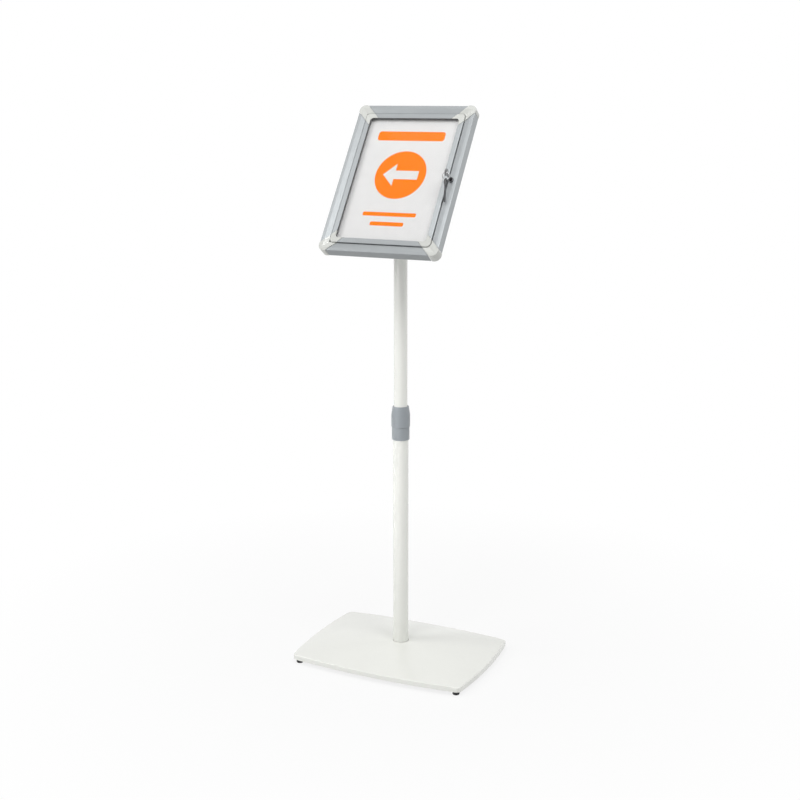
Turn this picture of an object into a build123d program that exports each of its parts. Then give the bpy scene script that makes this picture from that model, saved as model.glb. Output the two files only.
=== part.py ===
"""Floor stand with a lockable A4 display frame on a telescopic column.

Millimetres and degrees. The origin is on the floor under the column axis, +Z is up and
the display faces -Y. The display is drawn flat in its own frame (x right, y up, z out of
the front, z = 0 on its back) and then leaned back onto the head of the column.
"""
import math
import os

from build123d import *

# Base: a crowned sheet cover over a ballast plate, on four glides
BASE_WIDTH = 412.0
BASE_DEPTH = 296.0
BASE_SIDE_BOW = 9.7
BASE_FRONT_BOW = 12.8
BASE_CORNER_R = 12.0
BASE_EDGE_H = 10.2
BASE_EDGE_R = 2.0
BASE_CROWN = 18.5
BASE_SHEET_T = 2.0
CROWN_SPAN = 1.05
COVER_HOLE_GAP = 0.8
PLATE_T = 6.0
PLATE_GAP = 0.5
FOOT_D = 15.0
FOOT_TAPER = 0.8
FOOT_H = 9.2
FOOT_INSET_X = 21.5
FOOT_INSET_Y = 24.2
FOOT_SCREW_D = 5.0
FOOT_SCREW_HEAD_D = 9.0
FOOT_SCREW_HEAD_H = 3.0
FOOT_SCREW_RECESS = 4.5
FOOT_SCREW_BITE = 3.5
FOOT_BOSS_D = 12.0

# Column: two tubes, the foot joint and the twist clamp
LOWER_TUBE_D = 33.0
UPPER_TUBE_D = 28.5
TUBE_WALL = 1.5
LOWER_TUBE_TOP = 528.0
TUBE_OVERLAP = 260.0
SOCKET_D = 48.0
SOCKET_H = 14.0
PLUG_H = 18.0
COLUMN_BOLT_D = 10.0
COLUMN_BOLT_AF = 16.0
COLUMN_BOLT_HEAD_H = 5.0
COLUMN_BOLT_BITE = 14.0
COLUMN_WASHER_D = 30.0
COLUMN_WASHER_T = 2.0
BUSH_FLANGE_H = 5.0
BUSH_INSERT_H = 15.0
BUSH_WALL = 2.5
SLEEVE_BOTTOM = 493.9
SLEEVE_D = 37.3
SLEEVE_BAND_H = 27.7
SLEEVE_NECK_D = 35.2
SLEEVE_LIP_H = 6.0
SLEEVE_LIP_GAP = 0.6
COLLET_H = 23.0
COLLET_STRAIGHT_H = 11.0
COLLET_D = 32.8
COLLET_TOP_D = 30.4
COLLET_SLIT = 2.0
NUT_D = 39.7
NUT_BAND_H = 24.9
NUT_TOP_D = 34.4
NUT_TAPER_H = 19.0
NUT_EDGE_R = 1.0

# Tilt head
HEAD_SPIGOT_H = 30.0
HEAD_FLANGE_D = 32.0
HEAD_FLANGE_H = 6.0
HEAD_REACH = 26.0
EAR_R = 13.0
EAR_T = 7.0
LUG_R = 12.0
LUG_T = 10.0
FRICTION_WASHER_T = 0.95
FRICTION_WASHER_D = 24.0
TILT_BOLT_D = 8.0
TILT_BOLT_AF = 13.0
TILT_BOLT_HEAD_H = 5.3
KNOB_HUB_D = 18.0
KNOB_HUB_H = 4.0
KNOB_D = 24.0
KNOB_H = 10.0
KNOB_LOBES = 6
KNOB_LOBE_D = 8.0
KNOB_LOBE_RING = 22.0
BRACKET_T = 4.0
BRACKET_WIDTH = 44.0
BRACKET_ABOVE = 20.0
BRACKET_CORNER_R = 8.0
PIVOT_TO_BACK = 28.0
SWIVEL_BOLT_D = 8.0
SWIVEL_HEAD_D = 15.0
SWIVEL_NUT_AF = 13.0
SWIVEL_NUT_H = 7.0
SWIVEL_WASHER_D = 24.0
SWIVEL_WASHER_T = 1.6
SWIVEL_PAD_D = 34.0
SWIVEL_PAD_T = 0.7
MOUNT_PLATE_SIDE = 100.0
MOUNT_PLATE_T = 3.0
MOUNT_PLATE_R = 12.0
MOUNT_SCREW_PITCH = 84.0
MOUNT_SCREW_D = 4.0
MOUNT_SCREW_HEAD_D = 8.0
MOUNT_SCREW_HEAD_H = 2.4
MOUNT_SCREW_BITE = 2.2

# Display: where its front stands, and the sizes across it
DISPLAY_LEAN = 35.27
DISPLAY_FRONT_Y = -15.1
DISPLAY_FRONT_Z = 1041.8
SHEET_WIDTH = 210.0
SHEET_HEIGHT = 297.0
SHEET_T = 0.3
SHEET_SIDE_COVER = 5.0
SHEET_END_COVER = 6.5
FRAME_RAIL_W = 18.4
DOOR_GAP = 1.4
DOOR_RAIL_W = 10.8
FRAME_T = 13.5
FRAME_SKIRT = 7.4
FRAME_EDGE_R = 1.6
FRAME_CREST_IN = 7.5
FRAME_DISH = 2.5
FRAME_WALL = 1.4
FRAME_FLOOR_T = 1.5
FRAME_FLOOR_IN = 24.5
PANEL_EDGE_IN = 6.5
PANEL_T = 2.6
PANEL_GAP = 0.1
FRAME_CORNER_R = 12.0
CORNER_HALF = 11.75
CORNER_PROUD = 0.8
MITRE_GAP = 0.5
TENON_L = 14.0
TENON_GAP = 0.3
DOOR_BOTTOM = 5.6
DOOR_EDGE_R = 1.5
DOOR_BACK_EASE = 0.5
DOOR_CORNER_R = 8.0
DOOR_CORNER_PROUD = 0.3
DOOR_WALL = 1.4
DOOR_FLOOR_T = 0.7
DOOR_BOX_W = 7.0
DOOR_LIP_W = 1.5
PANE_T = 1.5
PANE_GAP = 0.1
OPENING_R = 7.0
HINGE_FROM_EDGE = 3.9
HINGE_FROM_FRONT = 3.9
HINGE_RELIEF_STEP = 0.45
HINGE_PIN_D = 2.2
HINGE_PIN_IN_DOOR = 7.5
HINGE_PIN_IN_FRAME = 3.5

# Lock and keys
LOCK_IN = 12.5
LOCK_Y = -2.0
BARREL_D = 11.0
BARREL_PROUD = 4.4
BARREL_BOTTOM = 7.75
BARREL_EDGE_R = 0.6
LOCK_PLUG_D = 8.4
LOCK_PLUG_BOTTOM = 1.8
LOCK_PLUG_SUNK = 0.2
CAM_W = 6.5
CAM_T = 0.95
CAM_WIDTH = 6.0
CAM_REACH = 11.5
CAM_HUB_D = 9.8
CLIP_T = 0.45
CLIP_GAP = 0.1
CLIP_MOUTH = 4.0
CAM_ROOM = 0.5
KEY_T = 2.0
KEY_BLADE_W = 6.0
KEY_BOW_R = 7.2
KEY_HOLE_R = 2.5
KEY_HOLE_OUT = 3.0
KEY_REACH = 42.5
KEY_CUTS = 4
KEY_CUT_PITCH = 3.0
KEY_CUT_DEPTH = 1.3
KEYWAY_GAP = 0.15
KEY_TIP_GAP = 0.4
RING_R = 7.35
RING_WIRE_D = 1.2
RING_WIRE_PITCH = 1.1
RING_HANG = 1.2
SPARE_LEAN = 8.5

# Clearances shared by several fits
RUNNING_FIT = 0.05
SLIDE_FIT = 0.1
LOOSE_FIT = 0.3

# Heights that follow from the sizes above
EDGE_TOP = FOOT_H + BASE_EDGE_H
CROWN_TOP = EDGE_TOP + BASE_CROWN
PLATE_TOP = FOOT_H + PLATE_T
LOWER_TUBE_R = LOWER_TUBE_D / 2
LOWER_BORE_R = LOWER_TUBE_R - TUBE_WALL
UPPER_TUBE_R = UPPER_TUBE_D / 2
UPPER_BORE_R = UPPER_TUBE_R - TUBE_WALL
UPPER_TUBE_BOTTOM = LOWER_TUBE_TOP - TUBE_OVERLAP
SLEEVE_SHOULDER = SLEEVE_BOTTOM + SLEEVE_BAND_H
SLEEVE_TOP = LOWER_TUBE_TOP + SLEEVE_LIP_H
NUT_BOTTOM = SLEEVE_SHOULDER + LOOSE_FIT
NUT_BAND_TOP = NUT_BOTTOM + NUT_BAND_H
NUT_TOP = NUT_BAND_TOP + NUT_TAPER_H
COLLET_BOTTOM = SLEEVE_TOP + SLIDE_FIT

# Places on the display that follow from the sizes above
RAIL_TOTAL = FRAME_RAIL_W + DOOR_GAP + DOOR_RAIL_W
OPENING_WIDTH = SHEET_WIDTH - 2 * SHEET_SIDE_COVER
OPENING_HEIGHT = SHEET_HEIGHT - 2 * SHEET_END_COVER
HALF_W = OPENING_WIDTH / 2 + RAIL_TOTAL
HALF_H = OPENING_HEIGHT / 2 + RAIL_TOTAL
DOOR_IN = FRAME_RAIL_W + DOOR_GAP
DOOR_BOX_IN = DOOR_IN + DOOR_BOX_W
DOOR_LIP_IN = DOOR_BOX_IN + DOOR_LIP_W
DOOR_FLOOR_TOP = DOOR_BOTTOM + DOOR_FLOOR_T
DOOR_LID_BOTTOM = FRAME_T - DOOR_WALL
PANEL_BACK = FRAME_FLOOR_T + PANEL_GAP
PANEL_FRONT = PANEL_BACK + PANEL_T
SLOT_TOP = PANEL_FRONT + 2 * PANEL_GAP
WEB_TOP = SLOT_TOP + FRAME_WALL
MITRE_RUN = CORNER_HALF * math.sqrt(2)
FRAME_GAP_R = DOOR_CORNER_R + DOOR_GAP
HINGE_IN = DOOR_IN + HINGE_FROM_EDGE
HINGE_W = FRAME_T - HINGE_FROM_FRONT
HINGE_RELIEF_R = HINGE_FROM_EDGE + DOOR_GAP - HINGE_RELIEF_STEP
DISH_SLOPE = FRAME_DISH / (FRAME_RAIL_W - FRAME_CREST_IN)
LOCK_X = HALF_W - LOCK_IN
LOCK_FACE = FRAME_T - DISH_SLOPE * (LOCK_IN - FRAME_CREST_IN)
BARREL_TOP = LOCK_FACE + BARREL_PROUD
KEY_TIP = LOCK_PLUG_BOTTOM + 2 * KEY_TIP_GAP
KEY_HOLE_W = KEY_TIP + KEY_REACH
MOUNT_BACK = PANEL_BACK - MOUNT_PLATE_T
BRACKET_FRONT = MOUNT_BACK - SWIVEL_PAD_T - 2 * SLIDE_FIT
BRACKET_BACK = BRACKET_FRONT - BRACKET_T

# Lean of the display, and the tilt pivot on the column axis behind it
LEAN = math.radians(DISPLAY_LEAN)
NORMAL = Vector(0, -math.cos(LEAN), math.sin(LEAN))
UPWARD = Vector(0, math.sin(LEAN), math.cos(LEAN))
FRONT_CENTRE = Vector(0, DISPLAY_FRONT_Y, DISPLAY_FRONT_Z)
BACK_CENTRE = FRONT_CENTRE - NORMAL * FRAME_T
PIVOT_BELOW = (BACK_CENTRE.Y + PIVOT_TO_BACK * math.cos(LEAN)) / math.sin(LEAN)
PIVOT = BACK_CENTRE - NORMAL * PIVOT_TO_BACK - UPWARD * PIVOT_BELOW
UPPER_TUBE_TOP = PIVOT.Z - HEAD_REACH
EAR_INNER = LUG_T / 2 + FRICTION_WASHER_T + RUNNING_FIT
EAR_OUTER = EAR_INNER + EAR_T
DISPLAY = Location(BACK_CENTRE, (90 - DISPLAY_LEAN, 0, 0))


def turned(points):
    """Solid of revolution about Z from (radius, height) points."""
    return revolve(make_face(Polyline(*[(r, 0, z) for r, z in points], close=True)), Axis.Z)


def tube(outer_r, inner_r, bottom, top):
    """Round tube along Z."""
    return turned([(inner_r, bottom), (outer_r, bottom), (outer_r, top), (inner_r, top)])


def rod(radius, bottom, top):
    """Round bar along Z."""
    return Pos(0, 0, bottom) * extrude(Circle(radius), top - bottom)


def slab(x0, x1, y0, y1, z0, z1):
    """Box from its lowest and highest coordinates."""
    centre = Pos((x0 + x1) / 2, (y0 + y1) / 2, (z0 + z1) / 2)
    return centre * Box(x1 - x0, y1 - y0, z1 - z0)


def hexagon(across_flats, bottom, top):
    """Hexagonal bar along Z."""
    return Pos(0, 0, bottom) * extrude(RegularPolygon(across_flats / math.sqrt(3), 6), top - bottom)


def foot_places():
    """Centres of the four glides."""
    x = BASE_WIDTH / 2 - FOOT_INSET_X
    y = BASE_DEPTH / 2 - FOOT_INSET_Y
    return [(sx * x, sy * y) for sx in (-1, 1) for sy in (-1, 1)]


# Base

def base_outline(inset):
    """Face inside four bowed edges with rounded corners, drawn in from the edge by inset."""
    half_w = BASE_WIDTH / 2 - inset
    half_d = BASE_DEPTH / 2 - inset
    cx = half_w - BASE_SIDE_BOW
    cy = half_d - BASE_FRONT_BOW
    edges = [
        ThreePointArc((-cx, -cy), (0, -half_d), (cx, -cy)),
        ThreePointArc((cx, -cy), (half_w, 0), (cx, cy)),
        ThreePointArc((cx, cy), (0, half_d), (-cx, cy)),
        ThreePointArc((-cx, cy), (-half_w, 0), (-cx, -cy)),
    ]
    face = make_face(edges)
    return fillet(face.vertices(), BASE_CORNER_R - inset)


def crown_face(top):
    """Smooth face, level with the edge of the base all round and highest in the middle.

    Its height over the edge is the crown times (1 - x^2)(1 - y^2), with x and y counted in
    half widths and half depths, and three poles a side draw that exactly.
    """
    span = CROWN_SPAN
    share = (1 - span * span, 1 + span * span, 1 - span * span)
    poles = []
    for i, fx in zip((-1, 0, 1), share):
        x = i * span * BASE_WIDTH / 2
        poles.append([(x, j * span * BASE_DEPTH / 2, top + BASE_CROWN * fx * fy)
                      for j, fy in zip((-1, 0, 1), share)])
    return Face.make_bezier_surface([[Vector(*pole) for pole in row] for row in poles])


def crowned_block(inset, bottom, edge):
    """Block with an upright wall up to edge and a crown that rises to the middle."""
    wall = Pos(0, 0, bottom) * extrude(base_outline(inset), edge + 2 * BASE_CROWN - bottom)
    under = extrude(crown_face(edge), 2 * (edge + BASE_CROWN), dir=(0, 0, -1))
    return wall & under


def base_cover():
    outer = crowned_block(0, FOOT_H, EDGE_TOP)
    rim = outer.edges().filter_by(lambda e: e.bounding_box().min.Z > EDGE_TOP - BASE_EDGE_R)
    outer = fillet(rim, BASE_EDGE_R)
    hollow = crowned_block(BASE_SHEET_T, FOOT_H - BASE_SHEET_T, EDGE_TOP - BASE_SHEET_T)
    cover = outer - hollow
    for x, y in foot_places():
        cover += outer & (Pos(x, y) * rod(FOOT_BOSS_D / 2, PLATE_TOP, CROWN_TOP))
    for x, y in foot_places():
        cover -= Pos(x, y) * rod(FOOT_SCREW_D / 2, PLATE_TOP - BASE_SHEET_T, PLATE_TOP + FOOT_SCREW_BITE)
    return cover - rod(LOWER_TUBE_R + COVER_HOLE_GAP, FOOT_H, CROWN_TOP + BASE_SHEET_T)


def base_plate():
    outline = base_outline(BASE_SHEET_T + PLATE_GAP)
    plate = Pos(0, 0, FOOT_H) * extrude(outline, PLATE_T)
    plate -= rod(COLUMN_BOLT_D / 2 + LOOSE_FIT, FOOT_H, PLATE_TOP)
    for x, y in foot_places():
        plate -= Pos(x, y) * rod(FOOT_SCREW_D / 2 + LOOSE_FIT, FOOT_H, PLATE_TOP)
    return plate


def base_feet():
    foot = turned([
        (FOOT_SCREW_D / 2 + SLIDE_FIT, FOOT_SCREW_RECESS),
        (FOOT_SCREW_HEAD_D / 2 + LOOSE_FIT, FOOT_SCREW_RECESS),
        (FOOT_SCREW_HEAD_D / 2 + LOOSE_FIT, 0),
        (FOOT_D / 2 - FOOT_TAPER, 0),
        (FOOT_D / 2, FOOT_TAPER * 2),
        (FOOT_D / 2, FOOT_H),
        (FOOT_SCREW_D / 2 + SLIDE_FIT, FOOT_H),
    ])
    return Compound(children=[Pos(x, y) * foot for x, y in foot_places()])


def foot_screws():
    head = rod(FOOT_SCREW_HEAD_D / 2, FOOT_SCREW_RECESS - FOOT_SCREW_HEAD_H, FOOT_SCREW_RECESS)
    head = chamfer(head.edges().group_by(Axis.Z)[0], FOOT_SCREW_HEAD_H / 4)
    shank = rod(FOOT_SCREW_D / 2, FOOT_SCREW_RECESS, PLATE_TOP + FOOT_SCREW_BITE)
    screw = head + shank
    slot_w = FOOT_SCREW_D / 4
    floor = FOOT_SCREW_RECESS - FOOT_SCREW_HEAD_H
    screw -= slab(-FOOT_SCREW_D / 2, FOOT_SCREW_D / 2, -slot_w / 2, slot_w / 2, floor, floor + slot_w)
    screw -= slab(-slot_w / 2, slot_w / 2, -FOOT_SCREW_D / 2, FOOT_SCREW_D / 2, floor, floor + slot_w)
    return Compound(children=[Pos(x, y) * screw for x, y in foot_places()])


# Column

def column_socket():
    return tube(SOCKET_D / 2, LOWER_TUBE_R + SLIDE_FIT, PLATE_TOP, PLATE_TOP + SOCKET_H)


def column_plug():
    return tube(LOWER_BORE_R - RUNNING_FIT, COLUMN_BOLT_D / 2 + RUNNING_FIT, PLATE_TOP, PLATE_TOP + PLUG_H)


def column_washer():
    return tube(COLUMN_WASHER_D / 2, COLUMN_BOLT_D / 2 + LOOSE_FIT, FOOT_H - COLUMN_WASHER_T, FOOT_H)


def column_bolt():
    head_top = FOOT_H - COLUMN_WASHER_T
    head = hexagon(COLUMN_BOLT_AF, head_top - COLUMN_BOLT_HEAD_H, head_top)
    return head + rod(COLUMN_BOLT_D / 2, head_top, PLATE_TOP + COLUMN_BOLT_BITE)


def lower_tube():
    return tube(LOWER_TUBE_R, LOWER_BORE_R, PLATE_TOP, LOWER_TUBE_TOP)


def upper_tube():
    return tube(UPPER_TUBE_R, UPPER_BORE_R, UPPER_TUBE_BOTTOM, UPPER_TUBE_TOP)


def guide_bush():
    insert_r = UPPER_BORE_R - RUNNING_FIT
    return turned([
        (insert_r - BUSH_WALL, UPPER_TUBE_BOTTOM - BUSH_FLANGE_H),
        (LOWER_BORE_R - SLIDE_FIT, UPPER_TUBE_BOTTOM - BUSH_FLANGE_H),
        (LOWER_BORE_R - SLIDE_FIT, UPPER_TUBE_BOTTOM),
        (insert_r, UPPER_TUBE_BOTTOM),
        (insert_r, UPPER_TUBE_BOTTOM + BUSH_INSERT_H),
        (insert_r - BUSH_WALL, UPPER_TUBE_BOTTOM + BUSH_INSERT_H),
    ])


def collar_sleeve():
    grip_r = LOWER_TUBE_R + RUNNING_FIT
    seat = LOWER_TUBE_TOP + SLIDE_FIT
    sleeve = turned([
        (grip_r, SLEEVE_BOTTOM),
        (SLEEVE_D / 2, SLEEVE_BOTTOM),
        (SLEEVE_D / 2, SLEEVE_SHOULDER),
        (SLEEVE_NECK_D / 2, SLEEVE_SHOULDER),
        (SLEEVE_NECK_D / 2, SLEEVE_TOP),
        (UPPER_TUBE_R + 2 * SLEEVE_LIP_GAP, SLEEVE_TOP),
        (UPPER_TUBE_R + SLEEVE_LIP_GAP, seat),
        (grip_r, seat),
    ])
    rim = sleeve.edges().filter_by(GeomType.CIRCLE).filter_by(
        lambda e: abs(e.radius - SLEEVE_D / 2) < RUNNING_FIT)
    return fillet(rim, NUT_EDGE_R / 2)


def clamp_collet():
    inner_r = UPPER_TUBE_R + SLIDE_FIT
    collet = turned([
        (inner_r, COLLET_BOTTOM),
        (COLLET_D / 2, COLLET_BOTTOM),
        (COLLET_D / 2, COLLET_BOTTOM + COLLET_STRAIGHT_H),
        (COLLET_TOP_D / 2, COLLET_BOTTOM + COLLET_H),
        (inner_r, COLLET_BOTTOM + COLLET_H),
    ])
    slit = slab(-COLLET_SLIT / 2, COLLET_SLIT / 2, 0, COLLET_D, COLLET_BOTTOM, COLLET_BOTTOM + COLLET_H)
    return collet - slit


def clamp_nut():
    skirt_r = SLEEVE_NECK_D / 2 + LOOSE_FIT
    wide_r = COLLET_D / 2 + LOOSE_FIT
    narrow_r = COLLET_TOP_D / 2 + LOOSE_FIT
    mouth_r = UPPER_TUBE_R + 2 * LOOSE_FIT
    collet_top = COLLET_BOTTOM + COLLET_H
    nut = turned([
        (skirt_r, NUT_BOTTOM),
        (NUT_D / 2, NUT_BOTTOM),
        (NUT_D / 2, NUT_BAND_TOP),
        (NUT_TOP_D / 2, NUT_TOP),
        (mouth_r, NUT_TOP),
        (mouth_r, collet_top + LOOSE_FIT),
        (narrow_r, collet_top + LOOSE_FIT),
        (wide_r, COLLET_BOTTOM + COLLET_STRAIGHT_H),
        (wide_r, SLEEVE_TOP + LOOSE_FIT),
        (skirt_r, SLEEVE_TOP + LOOSE_FIT),
    ])
    top_rim = nut.edges().filter_by(GeomType.CIRCLE).filter_by(
        lambda e: abs(e.radius - NUT_TOP_D / 2) < RUNNING_FIT)
    band_rim = nut.edges().filter_by(GeomType.CIRCLE).filter_by(
        lambda e: abs(e.radius - NUT_D / 2) < RUNNING_FIT)
    return fillet(top_rim + band_rim, NUT_EDGE_R)


# Tilt head

def across(radius, x0, x1):
    """Round bar along X through the tilt pivot."""
    return Location(PIVOT) * (Rot(0, 90, 0) * rod(radius, x0, x1))


def head_knuckle():
    flange_top = UPPER_TUBE_TOP + HEAD_FLANGE_H
    spigot = rod(UPPER_BORE_R - RUNNING_FIT, UPPER_TUBE_TOP - HEAD_SPIGOT_H, UPPER_TUBE_TOP)
    flange = rod(HEAD_FLANGE_D / 2, UPPER_TUBE_TOP, flange_top)
    body = slab(-EAR_OUTER, EAR_OUTER, -EAR_R, EAR_R, flange_top, PIVOT.Z)
    body += across(EAR_R, -EAR_OUTER, EAR_OUTER)
    slot_floor = PIVOT.Z - LUG_R - LOOSE_FIT * 4
    body -= slab(-EAR_INNER, EAR_INNER, -2 * EAR_R, 2 * EAR_R, slot_floor, PIVOT.Z + 2 * EAR_R)
    body &= rod(HEAD_FLANGE_D / 2, UPPER_TUBE_TOP, PIVOT.Z + EAR_R)
    return spigot + flange + body - across(TILT_BOLT_D / 2, -EAR_OUTER, EAR_OUTER)


def tilt_washers():
    rings = []
    for side in (-1, 1):
        x0 = side * (EAR_INNER - FRICTION_WASHER_T)
        x1 = side * EAR_INNER
        ring = across(FRICTION_WASHER_D / 2, min(x0, x1), max(x0, x1))
        rings.append(ring - across(TILT_BOLT_D / 2 + RUNNING_FIT, -EAR_OUTER, EAR_OUTER))
    return Compound(children=rings)


def tilt_bolt():
    head = Rot(0, 90, 0) * hexagon(TILT_BOLT_AF, EAR_OUTER, EAR_OUTER + TILT_BOLT_HEAD_H)
    end = EAR_OUTER + KNOB_HUB_H + KNOB_H / 2
    return Location(PIVOT) * head + across(TILT_BOLT_D / 2, -end, EAR_OUTER)


def tilt_knob():
    hub_x = -EAR_OUTER - SLIDE_FIT
    grip_x = hub_x - KNOB_HUB_H
    knob = across(KNOB_HUB_D / 2, grip_x, hub_x)
    grip = Circle(KNOB_D / 2)
    for k in range(KNOB_LOBES):
        grip += Rot(0, 0, 360 / KNOB_LOBES * k) * Pos(KNOB_LOBE_RING / 2, 0) * Circle(KNOB_LOBE_D / 2)
    star = extrude(grip, KNOB_H)
    star = fillet(star.edges().group_by(Axis.Z)[-1], NUT_EDGE_R)
    knob += Location(PIVOT) * Pos(grip_x, 0, 0) * Rot(0, -90, 0) * star
    end = -(EAR_OUTER + KNOB_HUB_H + KNOB_H / 2) - LOOSE_FIT
    return knob - across(TILT_BOLT_D / 2 + RUNNING_FIT, end, hub_x)


def tilt_bracket():
    """Lug on the tilt bolt, and the plate that carries the swivel, in the display's frame."""
    low = -PIVOT_BELOW - LUG_R
    width = BRACKET_WIDTH
    plate = Pos(0, (BRACKET_ABOVE + low) / 2, BRACKET_BACK) * extrude(
        RectangleRounded(width, BRACKET_ABOVE - low, BRACKET_CORNER_R), BRACKET_T)
    arm = slab(-LUG_T / 2, LUG_T / 2, low, -PIVOT_BELOW + LUG_R, -PIVOT_TO_BACK, BRACKET_BACK)
    eye = Rot(0, 90, 0) * rod(LUG_R, -LUG_T / 2, LUG_T / 2)
    bracket = plate + arm + Pos(0, -PIVOT_BELOW, -PIVOT_TO_BACK) * eye
    bore = Rot(0, 90, 0) * rod(TILT_BOLT_D / 2 + RUNNING_FIT, -LUG_T, LUG_T)
    bracket -= Pos(0, -PIVOT_BELOW, -PIVOT_TO_BACK) * bore
    return bracket - rod(SWIVEL_BOLT_D / 2 + RUNNING_FIT, BRACKET_BACK, BRACKET_FRONT)


def swivel_pad():
    return tube(SWIVEL_PAD_D / 2, SWIVEL_BOLT_D / 2 + SLIDE_FIT, MOUNT_BACK - SWIVEL_PAD_T, MOUNT_BACK)


def swivel_washer():
    top = BRACKET_BACK - SLIDE_FIT
    return tube(SWIVEL_WASHER_D / 2, SWIVEL_BOLT_D / 2 + SLIDE_FIT, top - SWIVEL_WASHER_T, top)


def swivel_nut():
    top = BRACKET_BACK - SLIDE_FIT - SWIVEL_WASHER_T
    return hexagon(SWIVEL_NUT_AF, top - SWIVEL_NUT_H, top) - rod(SWIVEL_BOLT_D / 2, top - SWIVEL_NUT_H, top)


def swivel_bolt():
    sink = (SWIVEL_HEAD_D - SWIVEL_BOLT_D) / 2
    end = BRACKET_BACK - SLIDE_FIT - SWIVEL_WASHER_T - SWIVEL_NUT_H
    if sink > MOUNT_PLATE_T:
        sink = MOUNT_PLATE_T
    return turned([
        (0, end),
        (SWIVEL_BOLT_D / 2, end),
        (SWIVEL_BOLT_D / 2, PANEL_BACK - sink),
        (SWIVEL_HEAD_D / 2, PANEL_BACK),
        (0, PANEL_BACK),
    ])


def mount_screw_places():
    half = MOUNT_SCREW_PITCH / 2
    return [(sx * half, sy * half) for sx in (-1, 1) for sy in (-1, 1)]


def mount_plate():
    plate = Pos(0, 0, MOUNT_BACK) * extrude(
        RectangleRounded(MOUNT_PLATE_SIDE, MOUNT_PLATE_SIDE, MOUNT_PLATE_R), MOUNT_PLATE_T)
    for x, y in mount_screw_places():
        plate -= Pos(x, y) * rod(MOUNT_SCREW_D / 2 + SLIDE_FIT, MOUNT_BACK, PANEL_BACK)
    return plate - swivel_bolt()


def mount_screws():
    head = rod(MOUNT_SCREW_HEAD_D / 2, MOUNT_BACK - MOUNT_SCREW_HEAD_H, MOUNT_BACK)
    head = fillet(head.edges().group_by(Axis.Z)[0], MOUNT_SCREW_HEAD_H / 2)
    screw = head + rod(MOUNT_SCREW_D / 2, MOUNT_BACK, PANEL_BACK + MOUNT_SCREW_BITE)
    return Compound(children=[Pos(x, y) * screw for x, y in mount_screw_places()])


# Display frame

def bar(points, half_across, half_along):
    """Bar along the top edge from (distance in, height) points, as long as the frame."""
    face = make_face(Polyline(*[(half_across - u, w) for u, w in points], close=True))
    return extrude(Plane.YZ * face, half_along, both=True)


def mitred(solid, half_across, half_along):
    """Trim a top bar where the corner pieces begin."""
    depth = RAIL_TOTAL + DOOR_RAIL_W
    start = half_along - MITRE_RUN - MITRE_GAP * math.sqrt(2)
    shape = Polyline((-start, half_across), (start, half_across), (start - depth, half_across - depth),
                     (-start + depth, half_across - depth), close=True)
    return solid & extrude(make_face(shape), FRAME_T * 2, both=True)


def on_side(side, make):
    """Make a rail for one side of the display and turn it into place."""
    if side in ("top", "bottom"):
        rail = make(HALF_H, HALF_W)
    else:
        rail = make(HALF_W, HALF_H)
    return Rot(0, 0, {"top": 0, "right": -90, "bottom": 180, "left": 90}[side]) * rail


def eased(rail, across, radius):
    """Round the front edge that runs along a bar at a distance across it."""
    edge = [e for e in rail.edges().filter_by(Axis.X)
            if abs(e.center().Z - FRAME_T) < radius / 2 and abs(e.center().Y - across) < radius / 2]
    return fillet(edge, radius)


def frame_rail(half_across, half_along):
    """Box section with a flat outer band, a band dished towards the door, and a skirt behind."""
    inner = FRAME_RAIL_W - FRAME_WALL
    outside = [
        (0, -FRAME_SKIRT),
        (0, FRAME_T),
        (FRAME_CREST_IN, FRAME_T),
        (FRAME_RAIL_W, FRAME_T - FRAME_DISH),
        (FRAME_RAIL_W, SLOT_TOP),
        (PANEL_EDGE_IN, SLOT_TOP),
        (PANEL_EDGE_IN, FRAME_FLOOR_T),
        (FRAME_FLOOR_IN, FRAME_FLOOR_T),
        (FRAME_FLOOR_IN, 0),
        (FRAME_WALL, 0),
        (FRAME_WALL, -FRAME_SKIRT),
    ]
    chamber = [
        (FRAME_WALL, FRAME_FLOOR_T),
        (FRAME_WALL, FRAME_T - FRAME_WALL),
        (FRAME_CREST_IN, FRAME_T - FRAME_WALL),
        (inner, FRAME_T - FRAME_DISH - FRAME_WALL),
        (inner, WEB_TOP),
        (PANEL_EDGE_IN - FRAME_WALL, WEB_TOP),
        (PANEL_EDGE_IN - FRAME_WALL, FRAME_FLOOR_T),
    ]
    rail = eased(bar(outside, half_across, half_along), half_across, FRAME_EDGE_R)
    rail -= bar(chamber, half_across, half_along)
    return mitred(rail, half_across, half_along)


def lock_side_cuts():
    """Holes and slots that the lock needs in the right side of the frame and the door."""
    axis = Pos(LOCK_X, LOCK_Y)
    cuts = axis * rod(BARREL_D / 2, BARREL_BOTTOM, BARREL_TOP)
    cuts += axis * rod(CAM_HUB_D / 2 + CAM_ROOM, FRAME_FLOOR_T, CAM_W)
    low = LOCK_Y - CAM_WIDTH / 2 - CAM_ROOM
    high = LOCK_Y + CAM_REACH + CAM_ROOM
    wall = HALF_W - FRAME_RAIL_W
    cuts += slab(wall - DOOR_GAP / 2, wall + 2 * FRAME_WALL, low, high,
                 CAM_W - CLIP_GAP, CAM_W + CAM_T + 2 * CLIP_GAP)
    door = HALF_W - DOOR_IN
    cuts += slab(door - 2 * DOOR_WALL, door + DOOR_GAP / 2, low, high,
                 CAM_W - CLIP_GAP, CAM_W + CAM_T + 2 * CLIP_GAP)
    return cuts


def rounded(inset, radius, height):
    """Rounded rectangle drawn in from the outside of the frame, at a height."""
    return Pos(0, 0, height) * RectangleRounded(2 * (HALF_W - inset), 2 * (HALF_H - inset), radius)


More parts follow.
